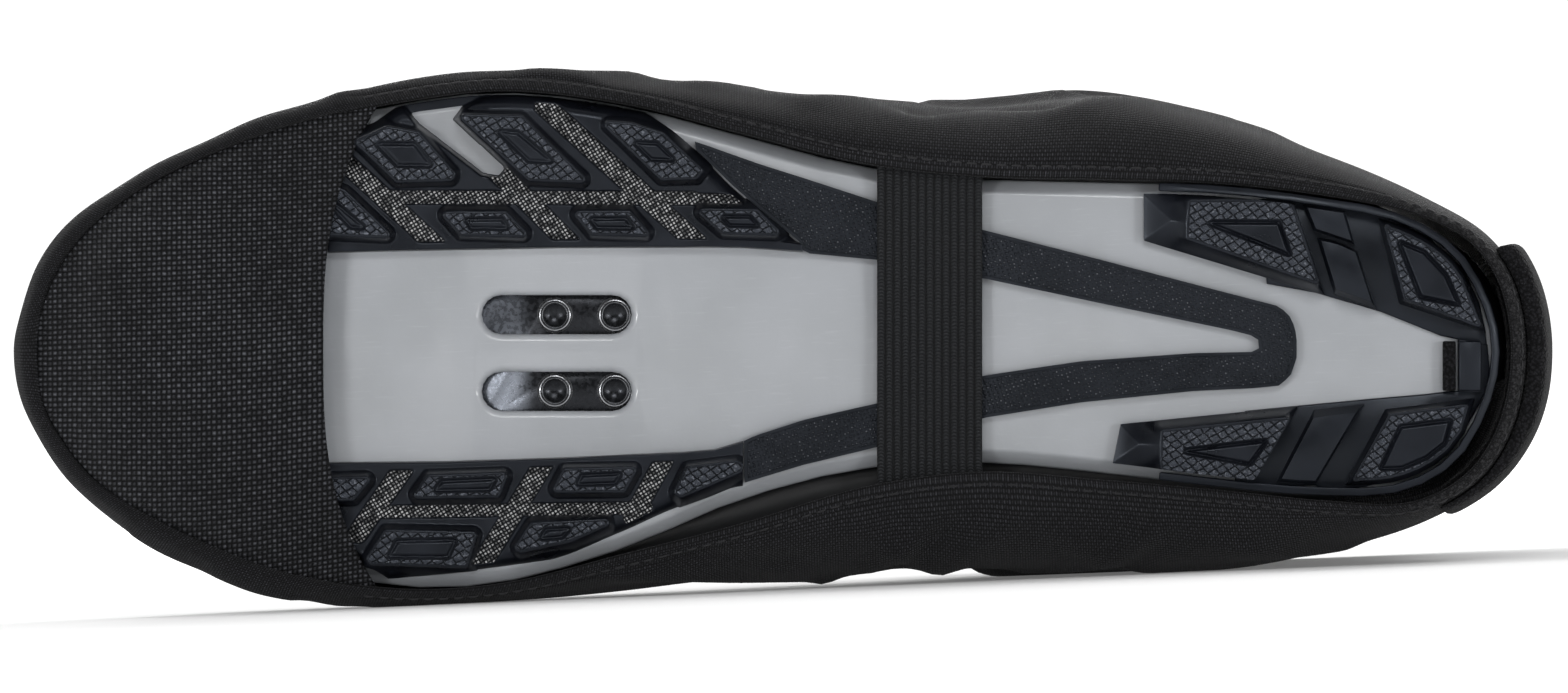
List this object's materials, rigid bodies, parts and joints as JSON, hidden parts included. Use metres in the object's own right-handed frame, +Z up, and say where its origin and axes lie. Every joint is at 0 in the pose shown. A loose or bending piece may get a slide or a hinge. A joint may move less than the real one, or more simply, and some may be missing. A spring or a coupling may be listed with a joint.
{
  "type": "cycling overshoe, left, worn on its shoe",
  "caption": "Black fabric cycling overshoe on a stiff-soled shoe: open underside with grey cleat plate, lugged rubber tread, elastic arch strap, tall shaft and rear closure.",
  "frame": {"origin": "centre of the bounding box on the floor, with the shoe lying on its inner side", "axes": "+X towards the heel, +Y from the tread up the shaft, +Z up, towards the outer side of the left foot"},
  "size_m": [0.2852, 0.152, 0.0983],
  "materials": {
    "shell_fabric": "matte",
    "woven_panel": "matte",
    "elastic": "matte",
    "closure_fabric": "matte",
    "shoe_synthetic": "satin",
    "insole_foam": "matte",
    "plate_grey": "satin",
    "nut_steel": "brushed",
    "tread_rubber": "satin"
  },
  "bodies": {
    "root": {"overshoe_upper": "shell_fabric", "toe_panel": "woven_panel", "arch_strap": "elastic", "rear_flap": "closure_fabric", "rear_loop_strip": "closure_fabric", "shoe_upper": "shoe_synthetic", "insole": "insole_foam", "sole_plate": "plate_grey", "cleat_nut_plate": "nut_steel", "toe_tread": "tread_rubber", "forefoot_tread_outer": "tread_rubber", "forefoot_tread_inner": "tread_rubber", "arch_band": "tread_rubber", "heel_tread_outer": "tread_rubber", "heel_block_outer": "tread_rubber", "heel_block_centre": "tread_rubber", "heel_lug_outer": "tread_rubber", "heel_tread_inner": "tread_rubber", "heel_block_inner": "tread_rubber", "heel_lug_inner": "tread_rubber", "heel_rim": "tread_rubber", "heel_rear_bar": "closure_fabric", "heel_rear_block": "tread_rubber"}
  },
  "joints": []
}
